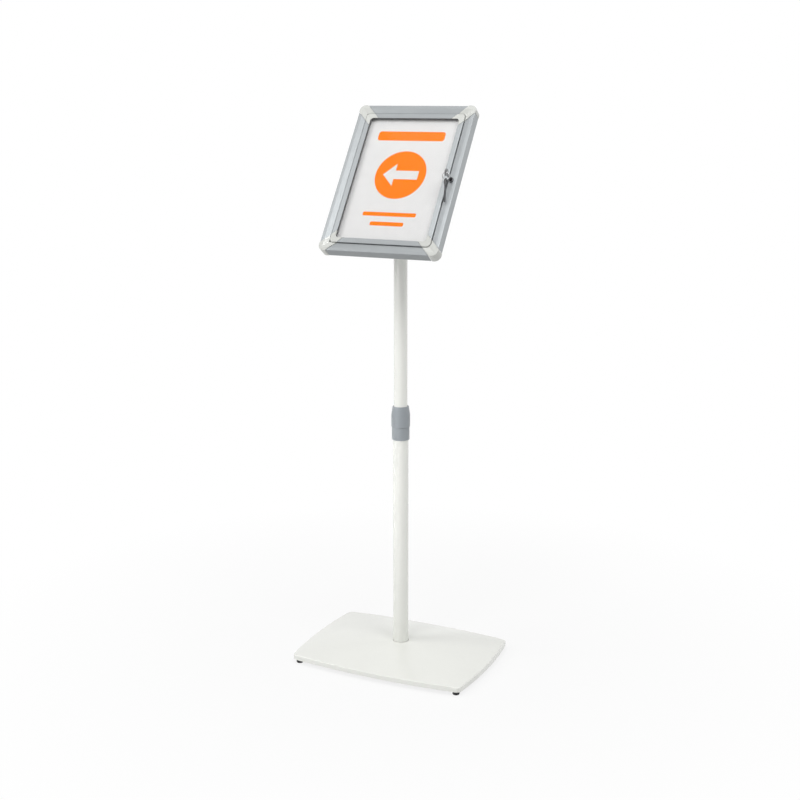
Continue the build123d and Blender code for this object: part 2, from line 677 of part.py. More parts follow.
def corner_band(sx, sy):
    """Block that holds one corner piece: a strip along the mitre of that corner."""
    length = 4 * RAIL_TOTAL
    strip = Box(2 * CORNER_HALF, length, 4 * FRAME_T)
    return Pos(sx * HALF_W, sy * HALF_H) * Rot(0, 0, -45 * sx * sy) * strip


def tenons(points, sx, sy):
    """Two pegs that a corner piece pushes into the rails beside it."""
    middle = sum(u for u, w in points) / len(points)
    start = MITRE_RUN + middle
    pegs = []
    for half_across, half_along in ((HALF_H, HALF_W), (HALF_W, HALF_H)):
        far = half_along - start
        keep = slab(far - TENON_L, far + CORNER_HALF / 2, half_across - RAIL_TOTAL, half_across, 0, FRAME_T)
        pegs.append(bar(points, half_across, half_along) & keep)
    upright = mirror(Rot(0, 0, -90) * pegs[1], Plane.XZ)
    both = pegs[0] + upright
    if sx < 0:
        both = mirror(both, Plane.YZ)
    if sy < 0:
        both = mirror(both, Plane.XZ)
    return both


def hinge_hole(radius, sy):
    """Bore for one hinge pin, along the left side of the door."""
    x = -HALF_W + HINGE_IN
    low = HALF_H - DOOR_IN - HINGE_PIN_IN_DOOR
    high = HALF_H - FRAME_RAIL_W + HINGE_PIN_IN_FRAME
    pin = Pos(x, 0, HINGE_W) * Rot(-90, 0, 0) * rod(radius, low, high)
    if sy < 0:
        pin = mirror(pin, Plane.XZ)
    return pin


def hinge_relief(sy):
    """Room for the rounded corner of the door as it turns about its pin."""
    high = HALF_H - DOOR_IN
    room = Rot(-90, 0, 0) * rod(HINGE_RELIEF_R, high - DOOR_CORNER_R, high)
    room = Pos(-HALF_W + HINGE_IN, 0, HINGE_W) * room
    if sy < 0:
        room = mirror(room, Plane.XZ)
    return room


def square(inset, height):
    """Plain rectangle drawn in from the outside of the frame, at a height."""
    return Pos(0, 0, height) * Rectangle(2 * (HALF_W - inset), 2 * (HALF_H - inset))


def frame_corners():
    top = FRAME_T + CORNER_PROUD
    ring = extrude(rounded(-CORNER_PROUD, FRAME_CORNER_R + CORNER_PROUD, -FRAME_SKIRT), top + FRAME_SKIRT)
    ring = fillet(ring.edges().group_by(Axis.Z)[-1], FRAME_EDGE_R)
    ring -= loft([square(FRAME_RAIL_W, top - FRAME_DISH), square(FRAME_CREST_IN, top)], ruled=True)
    ring -= extrude(rounded(FRAME_RAIL_W, FRAME_GAP_R, FRAME_FLOOR_T), FRAME_T)
    ring -= extrude(rounded(FRAME_FLOOR_IN, OPENING_R, 0), FRAME_T)
    ring -= extrude(rounded(FRAME_WALL, FRAME_CORNER_R - FRAME_WALL, -FRAME_SKIRT), FRAME_SKIRT)
    ring -= slab(-HALF_W + PANEL_EDGE_IN, HALF_W - PANEL_EDGE_IN, -HALF_H + PANEL_EDGE_IN,
                 HALF_H - PANEL_EDGE_IN, FRAME_FLOOR_T, SLOT_TOP)
    inner = FRAME_RAIL_W - FRAME_WALL - TENON_GAP
    outer = PANEL_EDGE_IN - FRAME_WALL + TENON_GAP
    peg_top = FRAME_T - FRAME_DISH - FRAME_WALL - TENON_GAP
    peg = [
        (outer, WEB_TOP + TENON_GAP),
        (inner, WEB_TOP + TENON_GAP),
        (inner, peg_top),
        (outer, peg_top),
    ]
    pieces = []
    for sx in (-1, 1):
        for sy in (-1, 1):
            piece = (ring & corner_band(sx, sy)) + tenons(peg, sx, sy)
            if sx < 0:
                piece -= hinge_hole(HINGE_PIN_D / 2, sy)
                piece -= hinge_relief(sy)
            pieces.append(piece)
    return Compound(children=pieces)


def hinge_pins():
    return Compound(children=[hinge_hole(HINGE_PIN_D / 2, sy) for sy in (-1, 1)])


def back_panel():
    half_w = HALF_W - PANEL_EDGE_IN - LOOSE_FIT
    half_h = HALF_H - PANEL_EDGE_IN - LOOSE_FIT
    panel = slab(-half_w, half_w, -half_h, half_h, PANEL_BACK, PANEL_FRONT)
    notch = LOCK_PLUG_D / 2 + CAM_ROOM
    panel -= slab(LOCK_X - notch, half_w, LOCK_Y - notch, LOCK_Y + notch, PANEL_BACK, PANEL_FRONT)
    for x, y in mount_screw_places():
        panel -= Pos(x, y) * rod(MOUNT_SCREW_D / 2, PANEL_BACK, PANEL_BACK + MOUNT_SCREW_BITE)
    return panel


def insert_sheet():
    return slab(-SHEET_WIDTH / 2, SHEET_WIDTH / 2, -SHEET_HEIGHT / 2, SHEET_HEIGHT / 2,
                PANEL_FRONT, PANEL_FRONT + SHEET_T)


# Door

def door_rail(half_across, half_along):
    outside = [
        (DOOR_IN + DOOR_BACK_EASE, DOOR_BOTTOM),
        (DOOR_IN, DOOR_BOTTOM + DOOR_BACK_EASE),
        (DOOR_IN, FRAME_T),
        (RAIL_TOTAL, FRAME_T),
        (RAIL_TOTAL, DOOR_LID_BOTTOM),
        (DOOR_BOX_IN, DOOR_LID_BOTTOM),
        (DOOR_BOX_IN, DOOR_FLOOR_TOP),
        (DOOR_LIP_IN, DOOR_FLOOR_TOP),
        (DOOR_LIP_IN, DOOR_BOTTOM),
    ]
    chamber = [
        (DOOR_IN + DOOR_WALL, DOOR_FLOOR_TOP),
        (DOOR_IN + DOOR_WALL, DOOR_LID_BOTTOM),
        (DOOR_BOX_IN - DOOR_WALL, DOOR_LID_BOTTOM),
        (DOOR_BOX_IN - DOOR_WALL, DOOR_FLOOR_TOP),
    ]
    rail = eased(bar(outside, half_across, half_along), half_across - DOOR_IN, DOOR_EDGE_R)
    rail -= bar(chamber, half_across, half_along)
    return mitred(rail, half_across, half_along)


def door_corners():
    top = FRAME_T + DOOR_CORNER_PROUD
    ring = extrude(rounded(DOOR_IN, DOOR_CORNER_R, DOOR_BOTTOM), top - DOOR_BOTTOM)
    ring = fillet(ring.edges().group_by(Axis.Z)[-1], DOOR_EDGE_R)
    ring = chamfer(ring.edges().group_by(Axis.Z)[0], DOOR_BACK_EASE)
    ring -= extrude(rounded(RAIL_TOTAL, OPENING_R, DOOR_BOTTOM), top)
    box_w = HALF_W - DOOR_BOX_IN
    box_h = HALF_H - DOOR_BOX_IN
    lip_w = HALF_W - DOOR_LIP_IN
    lip_h = HALF_H - DOOR_LIP_IN
    ring -= slab(-box_w, box_w, -box_h, box_h, DOOR_FLOOR_TOP, DOOR_LID_BOTTOM)
    ring -= slab(-lip_w, lip_w, -lip_h, lip_h, DOOR_BOTTOM, DOOR_FLOOR_TOP)
    inner = DOOR_BOX_IN - DOOR_WALL - TENON_GAP
    outer = DOOR_IN + DOOR_WALL + TENON_GAP
    peg = [
        (outer, DOOR_FLOOR_TOP + TENON_GAP),
        (inner, DOOR_FLOOR_TOP + TENON_GAP),
        (inner, DOOR_LID_BOTTOM - TENON_GAP),
        (outer, DOOR_LID_BOTTOM - TENON_GAP),
    ]
    pieces = []
    for sx in (-1, 1):
        for sy in (-1, 1):
            piece = (ring & corner_band(sx, sy)) + tenons(peg, sx, sy)
            if sx < 0:
                piece -= hinge_hole(HINGE_PIN_D / 2 + RUNNING_FIT, sy)
            pieces.append(piece)
    return Compound(children=pieces)


def door_pane():
    half_w = HALF_W - DOOR_BOX_IN - 2 * PANE_GAP
    half_h = HALF_H - DOOR_BOX_IN - 2 * PANE_GAP
    bottom = DOOR_FLOOR_TOP + PANE_GAP
    return slab(-half_w, half_w, -half_h, half_h, bottom, bottom + PANE_T)


def pane_gasket():
    bottom = DOOR_FLOOR_TOP + PANE_T + 2 * PANE_GAP
    height = DOOR_LID_BOTTOM - PANE_GAP - bottom
    half_w = HALF_W - DOOR_BOX_IN - PANE_GAP
    half_h = HALF_H - DOOR_BOX_IN - PANE_GAP
    ring = slab(-half_w, half_w, -half_h, half_h, bottom, bottom + height)
    return ring - extrude(rounded(RAIL_TOTAL - PANE_GAP, OPENING_R, bottom), height)


# Lock and keys

def lock_barrel():
    barrel = rod(BARREL_D / 2, BARREL_BOTTOM, BARREL_TOP)
    barrel = fillet(barrel.edges().group_by(Axis.Z)[-1], BARREL_EDGE_R)
    return Pos(LOCK_X, LOCK_Y) * (barrel - rod(LOCK_PLUG_D / 2 + RUNNING_FIT, BARREL_BOTTOM, BARREL_TOP))


def lock_plug():
    plug_top = BARREL_TOP - LOCK_PLUG_SUNK
    plug = rod(LOCK_PLUG_D / 2, LOCK_PLUG_BOTTOM, plug_top)
    half_t = KEY_T / 2 + KEYWAY_GAP
    half_w = KEY_BLADE_W / 2 + KEYWAY_GAP
    floor = LOCK_PLUG_BOTTOM + KEY_TIP_GAP
    return Pos(LOCK_X, LOCK_Y) * (plug - slab(-half_t, half_t, -half_w, half_w, floor, plug_top))


def lock_cam():
    cam = rod(CAM_HUB_D / 2, CAM_W, CAM_W + CAM_T)
    cam += slab(-CAM_WIDTH / 2, CAM_WIDTH / 2, 0, CAM_REACH, CAM_W, CAM_W + CAM_T)
    return Pos(LOCK_X, LOCK_Y) * (cam - rod(LOCK_PLUG_D / 2, CAM_W, CAM_W + CAM_T))


def cam_clip():
    top = CAM_W - CLIP_GAP
    ring = tube(CAM_HUB_D / 2, LOCK_PLUG_D / 2, top - CLIP_T, top)
    mouth = slab(-CLIP_MOUTH / 2, CLIP_MOUTH / 2, -CAM_HUB_D, 0, top - CLIP_T, top)
    return Pos(LOCK_X, LOCK_Y) * (ring - mouth)


def key_shape():
    """Key with its plate square to X, its hole at the origin and its blade down -Z."""
    bow = Pos(0, -KEY_HOLE_OUT) * Circle(KEY_BOW_R)
    blade = Pos(0, -(KEY_HOLE_OUT + KEY_REACH) / 2) * Rectangle(KEY_BLADE_W, KEY_REACH - KEY_HOLE_OUT)
    plate = bow + blade - Circle(KEY_HOLE_R)
    for k in range(KEY_CUTS):
        z = -KEY_REACH + KEY_CUT_PITCH * (k + 1)
        edge = KEY_BLADE_W / 2
        half = KEY_CUT_PITCH / 3
        notch = Polyline((edge + half, z - half), (edge + half, z + half),
                         (edge, z + half), (edge - KEY_CUT_DEPTH, z), (edge, z - half), close=True)
        plate -= make_face(notch)
    return extrude(Plane.YZ * plate, KEY_T / 2, both=True)


def key():
    return Pos(LOCK_X, LOCK_Y, KEY_HOLE_W) * key_shape()


KEY_HOLE = BACK_CENTRE + NORMAL * KEY_HOLE_W + UPWARD * LOCK_Y + Vector(LOCK_X, 0, 0)
RING_TOP = KEY_HOLE - Vector(0, 0, RING_HANG)
RING_BOTTOM = RING_TOP - Vector(0, 0, 2 * RING_R)


def key_ring():
    """Split ring of two turns, in the upright plane through the hole of the key."""
    section = Part()
    for side in (-1, 1):
        centre = Pos(RING_R, 0, side * RING_WIRE_PITCH / 2)
        section += revolve(centre * Rot(90, 0, 0) * Circle(RING_WIRE_D / 2), Axis.Z)
    return Location((RING_TOP + RING_BOTTOM) * 0.5) * Rot(90, 0, 0) * section


def spare_key():
    """Second key, hung from the ring and leaning out along the rail."""
    return Location(RING_BOTTOM) * Rot(-SPARE_LEAN, 0, 0) * Pos(0, 0, -RING_HANG) * key_shape()


def display_parts():
    """Pieces drawn in the display's own frame."""
    parts = {
        "tilt_bracket": tilt_bracket(),
        "swivel_pad": swivel_pad(),
        "swivel_washer": swivel_washer(),
        "swivel_nut": swivel_nut(),
        "swivel_bolt": swivel_bolt(),
        "mount_plate": mount_plate(),
        "mount_screws": mount_screws(),
        "frame_corners": frame_corners(),
        "hinge_pins": hinge_pins(),
        "back_panel": back_panel(),
        "insert_sheet": insert_sheet(),
        "door_corners": door_corners(),
        "door_pane": door_pane(),
        "pane_gasket": pane_gasket(),
        "lock_barrel": lock_barrel(),
        "lock_plug": lock_plug(),
        "lock_cam": lock_cam(),
        "cam_clip": cam_clip(),
        "key": key(),
    }
    for side in ("top", "bottom", "left", "right"):
        parts["frame_rail_" + side] = on_side(side, frame_rail)
        parts["door_rail_" + side] = on_side(side, door_rail)
    for name in ("frame_rail_right", "door_rail_right"):
        parts[name] -= lock_side_cuts()
    return parts


def stand_parts():
    """Pieces drawn in the stand's frame."""
    return {
        "base_cover": base_cover(),
        "base_plate": base_plate(),
        "base_feet": base_feet(),
        "foot_screws": foot_screws(),
        "column_socket": column_socket(),
        "column_plug": column_plug(),
        "column_washer": column_washer(),
        "column_bolt": column_bolt(),
        "lower_tube": lower_tube(),
        "upper_tube": upper_tube(),
        "guide_bush": guide_bush(),
        "collar_sleeve": collar_sleeve(),
        "clamp_collet": clamp_collet(),
        "clamp_nut": clamp_nut(),
        "head_knuckle": head_knuckle(),
        "tilt_washers": tilt_washers(),
        "tilt_bolt": tilt_bolt(),
        "tilt_knob": tilt_knob(),
        "key_ring": key_ring(),
        "spare_key": spare_key(),
    }


os.makedirs("parts", exist_ok=True)
for node, shape in stand_parts().items():
    export_step(shape, "parts/" + node + ".step")
for node, shape in display_parts().items():
    export_step(DISPLAY * shape, "parts/" + node + ".step")
print("tilt pivot", PIVOT, "display back", BACK_CENTRE, "ring top", RING_TOP, "ring bottom", RING_BOTTOM)
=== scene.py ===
"""Looks of the lockable display stand: finishes, the printed sheet, the studio and the camera."""

import math

import bpy
from mathutils import Matrix, Vector


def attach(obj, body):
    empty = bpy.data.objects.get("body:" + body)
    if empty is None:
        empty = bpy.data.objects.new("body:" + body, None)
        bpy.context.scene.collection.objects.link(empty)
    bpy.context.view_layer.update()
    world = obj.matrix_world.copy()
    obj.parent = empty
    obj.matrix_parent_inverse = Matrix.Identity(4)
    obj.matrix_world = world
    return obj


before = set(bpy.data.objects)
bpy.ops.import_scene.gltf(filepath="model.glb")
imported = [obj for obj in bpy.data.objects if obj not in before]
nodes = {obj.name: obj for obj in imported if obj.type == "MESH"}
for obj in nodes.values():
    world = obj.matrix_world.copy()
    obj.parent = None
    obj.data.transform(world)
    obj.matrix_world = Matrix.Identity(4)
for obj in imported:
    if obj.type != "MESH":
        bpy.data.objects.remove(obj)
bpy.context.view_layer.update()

# The display's own axes: u to the right, v up along its face, w out of its front
LEAN = math.radians(35.27)
BACK_CENTRE = Vector((0.0, -0.004078, 1.034002))
U_AXIS = Vector((1.0, 0.0, 0.0))
V_AXIS = Vector((0.0, math.sin(LEAN), math.cos(LEAN)))
W_AXIS = Vector((0.0, -math.cos(LEAN), math.sin(LEAN)))
DISPLAY_TURN = LEAN - math.pi / 2

# How far the sheet's front lies from the display's back, and how thick the print on it is
SHEET_FRONT = 0.0045
INK = 0.00005

WHITE = (1.0, 1.0, 1.0, 1.0)


# Finishes

# The part of a noise's range that is spread over a range of tones or numbers
NOISE_LOW = 0.3
NOISE_HIGH = 0.7
NOISE_ROUGHNESS = 0.55
GRAIN_DETAIL = 4.0

# Extruded rails: what the drawn lines and the broad bloom add to the tone, and the relief of the lines
LINES_SHARE = 0.7
BLOOM_SHARE = 0.3
BLOOM_SCALE = 35.0
LINES_DETAIL = 5.0
LINES_DEPTH = 0.00002
FINE_ALONG_U = (12.0, 2600.0, 2600.0)
FINE_ALONG_V = (2600.0, 12.0, 2600.0)
ALUMINIUM_TONES = ((0.282, 0.298, 0.306), (0.330, 0.346, 0.354))
ALUMINIUM_ROUGH = (0.42, 0.52)

# Clear pane: the share of light it mirrors face on and edge on, how late the rise comes, and its haze
MIRRORED_FACE_ON = 0.008
MIRRORED_EDGE_ON = 0.9
MIRROR_STEEPNESS = 5.0
PANE_HAZE_SCALE = 60.0
PANE_ROUGH = (0.02, 0.06)
PANE_TONES = ((0.95, 0.96, 0.96), (0.98, 0.99, 0.99))


def blank(name):
    """Node material with its tree and its shader."""
    made = bpy.data.materials.new(name)
    made.use_nodes = True
    return made, made.node_tree, made.node_tree.nodes["Principled BSDF"]


def set_inputs(node, **values):
    """Sockets of a node set by their names, where an underscore stands for a space."""
    for socket, value in values.items():
        node.inputs[socket.replace("_", " ")].default_value = value


def put(tree, kind, **values):
    """Node of a kind with some of its sockets set."""
    made = tree.nodes.new(kind)
    set_inputs(made, **values)
    return made


def reckon(tree, operation, *values):
    """Result of a sum done on sockets and plain numbers, in their order."""
    made = tree.nodes.new("ShaderNodeMath")
    made.operation = operation
    for socket, value in zip(made.inputs, values):
        if isinstance(value, float):
            socket.default_value = value
        else:
            tree.links.new(value, socket)
    return made.outputs["Value"]


def place_on(tree, turn=0.0, stretch=(1.0, 1.0, 1.0)):
    """Coordinates that stay on the object, turned about x and stretched."""
    where = put(tree, "ShaderNodeTexCoord")
    mapped = put(tree, "ShaderNodeMapping", Rotation=(turn, 0.0, 0.0), Scale=stretch)
    tree.links.new(where.outputs["Object"], mapped.inputs["Vector"])
    return mapped.outputs["Vector"]


def noise(tree, where, scale, detail=3.0):
    made = put(tree, "ShaderNodeTexNoise", Scale=scale, Detail=detail, Roughness=NOISE_ROUGHNESS)
    tree.links.new(where, made.inputs["Vector"])
    return made.outputs["Fac"]


def spread(tree, value, low, high):
    """Noise value turned into a range of numbers."""
    made = put(tree, "ShaderNodeMapRange",
               From_Min=NOISE_LOW, From_Max=NOISE_HIGH, To_Min=low, To_Max=high)
    tree.links.new(value, made.inputs["Value"])
    return made.outputs["Result"]


def between(tree, value, first, second):
    """Colour that wanders between two tones with a noise value."""
    made = tree.nodes.new("ShaderNodeValToRGB")
    start, end = made.color_ramp.elements
    start.position = NOISE_LOW
    start.color = (*first, 1.0)
    end.position = NOISE_HIGH
    end.color = (*second, 1.0)
    tree.links.new(value, made.inputs["Fac"])
    return made.outputs["Color"]


def relief(tree, shader, value, depth):
    made = put(tree, "ShaderNodeBump", Strength=1.0, Distance=depth)
    tree.links.new(value, made.inputs["Height"])
    tree.links.new(made.outputs["Normal"], shader.inputs["Normal"])


def finish(name, tones, rough, clouds, grain, depth, **sockets):
    """Finish with tones that wander in broad clouds, and with gloss and relief from a fine grain."""
    made, tree, shader = blank(name)
    where = place_on(tree)
    broad = noise(tree, where, clouds)
    fine = noise(tree, where, grain, GRAIN_DETAIL)
    tree.links.new(between(tree, broad, *tones), shader.inputs["Base Color"])
    tree.links.new(spread(tree, fine, *rough), shader.inputs["Roughness"])
    relief(tree, shader, fine, depth)
    set_inputs(shader, **sockets)
    return made


def drawn_metal(name, stretch, along):
    """Anodised extrusion: fine lines along its length in tone and relief, and gloss spread across them."""
    made, tree, shader = blank(name)
    lines = noise(tree, place_on(tree, DISPLAY_TURN, stretch), 1.0, LINES_DETAIL)
    bloom = noise(tree, place_on(tree, DISPLAY_TURN), BLOOM_SCALE)
    softened = reckon(tree, "MULTIPLY", bloom, BLOOM_SHARE)
    mixed = reckon(tree, "MULTIPLY_ADD", lines, LINES_SHARE, softened)
    tree.links.new(between(tree, mixed, *ALUMINIUM_TONES), shader.inputs["Base Color"])
    tree.links.new(spread(tree, lines, *ALUMINIUM_ROUGH), shader.inputs["Roughness"])
    relief(tree, shader, lines, LINES_DEPTH)
    way = put(tree, "ShaderNodeCombineXYZ", X=along.x, Y=along.y, Z=along.z)
    carried = tree.nodes.new("ShaderNodeVectorTransform")
    carried.vector_type = "VECTOR"
    carried.convert_from = "OBJECT"
    carried.convert_to = "WORLD"
    tree.links.new(way.outputs["Vector"], carried.inputs["Vector"])
    tree.links.new(carried.outputs["Vector"], shader.inputs["Tangent"])
    set_inputs(shader, Anisotropic=0.7, Anisotropic_Rotation=0.25, Metallic=0.85)
    return made


def clear_sheet(name):
    """Clear pane: it mirrors as much as acrylic does and lets the rest of the light straight through."""
    made, tree, shader = blank(name)
    edge = put(tree, "ShaderNodeLayerWeight", Blend=0.5)
    steep = reckon(tree, "POWER", edge.outputs["Facing"], MIRROR_STEEPNESS)
    mirrored = put(tree, "ShaderNodeMapRange", To_Min=MIRRORED_FACE_ON, To_Max=MIRRORED_EDGE_ON)
    tree.links.new(steep, mirrored.inputs["Value"])
    tree.links.new(mirrored.outputs["Result"], shader.inputs["Alpha"])
    haze = noise(tree, place_on(tree, DISPLAY_TURN), PANE_HAZE_SCALE)
    tree.links.new(spread(tree, haze, *PANE_ROUGH), shader.inputs["Roughness"])
    tree.links.new(between(tree, haze, *PANE_TONES), shader.inputs["Base Color"])
    set_inputs(shader, Metallic=1.0)
    return made


white_coat = finish(
    "white_coat", tones=((0.895, 0.903, 0.855), (0.920, 0.928, 0.880)), rough=(0.2, 0.28),
    clouds=9.0, grain=700.0, depth=0.00002, Coat_Weight=0.6, Coat_Roughness=0.06)
bracket_coat = finish(
    "bracket_coat", tones=((0.80, 0.805, 0.80), (0.83, 0.835, 0.83)), rough=(0.4, 0.5),
    clouds=25.0, grain=900.0, depth=0.00004)
ballast = finish(
    "ballast_steel", tones=((0.075, 0.075, 0.08), (0.10, 0.10, 0.105)), rough=(0.5, 0.65),
    clouds=30.0, grain=1200.0, depth=0.00004)
rubber = finish(
    "foot_rubber", tones=((0.026, 0.026, 0.028), (0.04, 0.04, 0.042)), rough=(0.6, 0.75),
    clouds=120.0, grain=2500.0, depth=0.00004)
gasket = finish(
    "gasket_rubber", tones=((0.085, 0.087, 0.09), (0.11, 0.112, 0.116)), rough=(0.5, 0.65),
    clouds=120.0, grain=2500.0, depth=0.00003)
zinc = finish(
    "zinc_steel", tones=((0.56, 0.56, 0.55), (0.68, 0.68, 0.66)), rough=(0.25, 0.4),
    clouds=90.0, grain=1500.0, depth=0.00002, Metallic=1.0)
grey_plastic = finish(
    "grey_plastic", tones=((0.312, 0.341, 0.365), (0.340, 0.370, 0.394)), rough=(0.34, 0.44),
    clouds=40.0, grain=2200.0, depth=0.00002)
nylon = finish(
    "nylon", tones=((0.76, 0.75, 0.70), (0.80, 0.79, 0.74)), rough=(0.4, 0.5),
    clouds=60.0, grain=1500.0, depth=0.00002)
dark_plastic = finish(
    "dark_plastic", tones=((0.045, 0.047, 0.05), (0.06, 0.062, 0.066)), rough=(0.45, 0.6),
    clouds=90.0, grain=1800.0, depth=0.00005)
white_plastic = finish(
    "white_plastic", tones=((0.595, 0.605, 0.575), (0.625, 0.635, 0.605)), rough=(0.16, 0.22),
    clouds=60.0, grain=2600.0, depth=0.000015)
panel_plastic = finish(
    "panel_plastic", tones=((0.70, 0.71, 0.71), (0.74, 0.75, 0.75)), rough=(0.5, 0.6),
    clouds=40.0, grain=2000.0, depth=0.00002)
paper = finish(
    "printed_paper", tones=((0.725, 0.723, 0.720), (0.750, 0.748, 0.745)), rough=(0.6, 0.7),
    clouds=60.0, grain=3000.0, depth=0.00001, Specular_IOR_Level=0.15)
ink = finish(
    "orange_ink", tones=((0.93, 0.205, 0.006), (0.97, 0.225, 0.008)), rough=(0.5, 0.6),
    clouds=80.0, grain=3000.0, depth=0.00001, Specular_IOR_Level=0.05)
# Lock plug: metal set near black, a painted dark reflection and shade that gives the lock its dark centre
lock_plug_painted_dark = finish(
    "lock_plug_painted_dark", tones=((0.035, 0.035, 0.037), (0.075, 0.075, 0.078)), rough=(0.06, 0.14),
    clouds=160.0, grain=1800.0, depth=0.000008, Metallic=1.0)
# Lock barrel and inserted key: chrome with its tone set far darker than chrome is, a painted dark
# reflection of surroundings that the white studio does not have; the lamps still give its bright spots
chrome_painted_dark = finish(
    "lock_chrome", tones=((0.13, 0.13, 0.135), (0.26, 0.26, 0.265)), rough=(0.05, 0.12),
    clouds=160.0, grain=1800.0, depth=0.000008, Metallic=1.0)
ring_steel = finish(
    "ring_steel", tones=((0.40, 0.40, 0.405), (0.52, 0.52, 0.525)), rough=(0.1, 0.2),
    clouds=160.0, grain=1800.0, depth=0.000008, Metallic=1.0)
# Hanging spare key: steel tones set dark, with wide contrast between clouds, a painted dark reflection and
# shade in place of the bright steel of a real key
key_steel_painted_dark = finish(
    "key_steel_painted_dark", tones=((0.045, 0.045, 0.048), (0.15, 0.15, 0.153)), rough=(0.16, 0.28),
    clouds=110.0, grain=1800.0, depth=0.00001, Metallic=1.0)
rail_across = drawn_metal("aluminium_across", FINE_ALONG_U, U_AXIS)
rail_upright = drawn_metal("aluminium_upright", FINE_ALONG_V, V_AXIS)
pane = clear_sheet("clear_pane")

WEARS = {
    white_coat: ["base_cover", "lower_tube", "upper_tube"],
    ballast: ["base_plate", "column_socket"],
    rubber: ["base_feet"],
    gasket: ["pane_gasket"],
    zinc: ["foot_screws", "column_plug", "column_washer", "column_bolt", "tilt_bolt", "swivel_washer",
           "swivel_nut", "swivel_bolt", "mount_screws", "hinge_pins", "lock_cam", "cam_clip"],
    grey_plastic: ["collar_sleeve", "clamp_nut"],
    nylon: ["clamp_collet", "guide_bush", "tilt_washers", "swivel_pad"],
    dark_plastic: ["head_knuckle", "tilt_knob"],
    bracket_coat: ["tilt_bracket", "mount_plate"],
    rail_across: ["frame_rail_top", "frame_rail_bottom", "door_rail_top", "door_rail_bottom"],
    rail_upright: ["frame_rail_left", "frame_rail_right", "door_rail_left", "door_rail_right"],
    white_plastic: ["frame_corners", "door_corners"],
    panel_plastic: ["back_panel"],
    paper: ["insert_sheet"],
    pane: ["door_pane"],
    lock_plug_painted_dark: ["lock_plug"],
    chrome_painted_dark: ["lock_barrel", "key"],
    ring_steel: ["key_ring"],
    key_steel_painted_dark: ["spare_key"],
}
for material, names in WEARS.items():
    for name in names:
        slots = nodes[name].data.materials
        slots.clear()
        slots.append(material)


# Print on the sheet: a plain direction sign in one colour, centred across the sheet

CORNER_STEPS = 8
DISC_POINTS = 96
SIGN_Y = 0.012


def bar_outline(y, width, height, radius):
    """Points round a bar with rounded corners, its middle at a height."""
    points = []
    for quarter, (sx, sy) in enumerate(((1, 1), (-1, 1), (-1, -1), (1, -1))):
        for step in range(CORNER_STEPS + 1):
            angle = math.radians(90 * quarter + 90 * step / CORNER_STEPS)
            points.append((sx * (width / 2 - radius) + radius * math.cos(angle),
                           y + sy * (height / 2 - radius) + radius * math.sin(angle)))
    return points


def disc_outline(y, radius):
    """Points round a disc, its middle at a height."""
    angles = [math.tau * step / DISC_POINTS for step in range(DISC_POINTS)]
    return [(radius * math.cos(angle), y + radius * math.sin(angle)) for angle in angles]


def arrow_outline(y, length, shaft, head):
    """Points round an arrow that points to the left, its middle at a height."""
    tip = -length / 2
    neck = tip + head / 2
    end = length / 2
    return [(tip, y), (neck, y + head / 2), (neck, y + shaft / 2), (end, y + shaft / 2),
            (end, y - shaft / 2), (neck, y - shaft / 2), (neck, y - head / 2)]


def printed(name, *outlines):
    """Thin layer of ink on the sheet; a second outline inside the first stays bare."""
    curve = bpy.data.curves.new(name, "CURVE")
    curve.dimensions = "2D"
    curve.fill_mode = "BOTH"
    curve.extrude = INK / 2
    for outline in outlines:
        spline = curve.splines.new("POLY")
        spline.points.add(len(outline) - 1)
        for point, (x, y) in zip(spline.points, outline):
            point.co = (x, y, 0.0, 1.0)
        spline.use_cyclic_u = True
    flat = bpy.data.objects.new(name + "_outline", curve)
    mesh = bpy.data.meshes.new_from_object(flat)
    bpy.data.objects.remove(flat)
    centre = BACK_CENTRE + W_AXIS * (SHEET_FRONT + INK / 2)
    axes = Matrix((U_AXIS, V_AXIS, W_AXIS)).transposed().to_4x4()
    mesh.transform(Matrix.Translation(centre) @ axes)
    mesh.materials.clear()
    mesh.materials.append(ink)
    made = bpy.data.objects.new(name, mesh)
    bpy.context.scene.collection.objects.link(made)
    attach(made, "display")


printed("print_header", bar_outline(y=0.104, width=0.150, height=0.022, radius=0.006))
printed("print_disc", disc_outline(y=SIGN_Y, radius=0.056),
        arrow_outline(y=SIGN_Y, length=0.078, shaft=0.020, head=0.052))
printed("print_line_one", bar_outline(y=-0.080, width=0.118, height=0.009, radius=0.003))
printed("print_line_two", bar_outline(y=-0.102, width=0.074, height=0.009, radius=0.003))


# Studio

# Strength of the white surroundings as light on the stand, and as what is seen
WORLD_LIGHT = 0.25
WORLD_SEEN = 1.0

# Floor: its size and tones, and how its white rises from under the stand to the background
FLOOR_SIZE = 30.0
FLOOR_CLOUDS = 3.0
FLOOR_TONES = ((0.88, 0.88, 0.88), (0.90, 0.90, 0.90))
FADE_START = 0.3
FADE_END = 1.1
FLOOR_WHITE_NEAR = 0.84
FLOOR_WHITE_FAR = 1.0


def softbox(name, place, target, size, power, beam=180.0):
    """Rectangular lamp turned to a point; a beam under 180 degrees stands for a grid on its front."""
    lamp = bpy.data.lights.new(name, "AREA")
    lamp.shape = "RECTANGLE"
    lamp.size, lamp.size_y = size
    lamp.energy = power
    lamp.spread = math.radians(beam)
    made = bpy.data.objects.new(name, lamp)
    made.location = place
    made.rotation_mode = "QUATERNION"
    made.rotation_quaternion = (Vector(target) - Vector(place)).to_track_quat("-Z", "Y")
    bpy.context.scene.collection.objects.link(made)


def seen_rays(tree):
    """One for rays that show the studio itself: straight to the camera, or by way of metal or glass."""
    path = tree.nodes.new("ShaderNodeLightPath")
    first = reckon(tree, "MAXIMUM", path.outputs["Is Camera Ray"], path.outputs["Is Glossy Ray"])
    return reckon(tree, "MAXIMUM", first, path.outputs["Is Transmission Ray"])


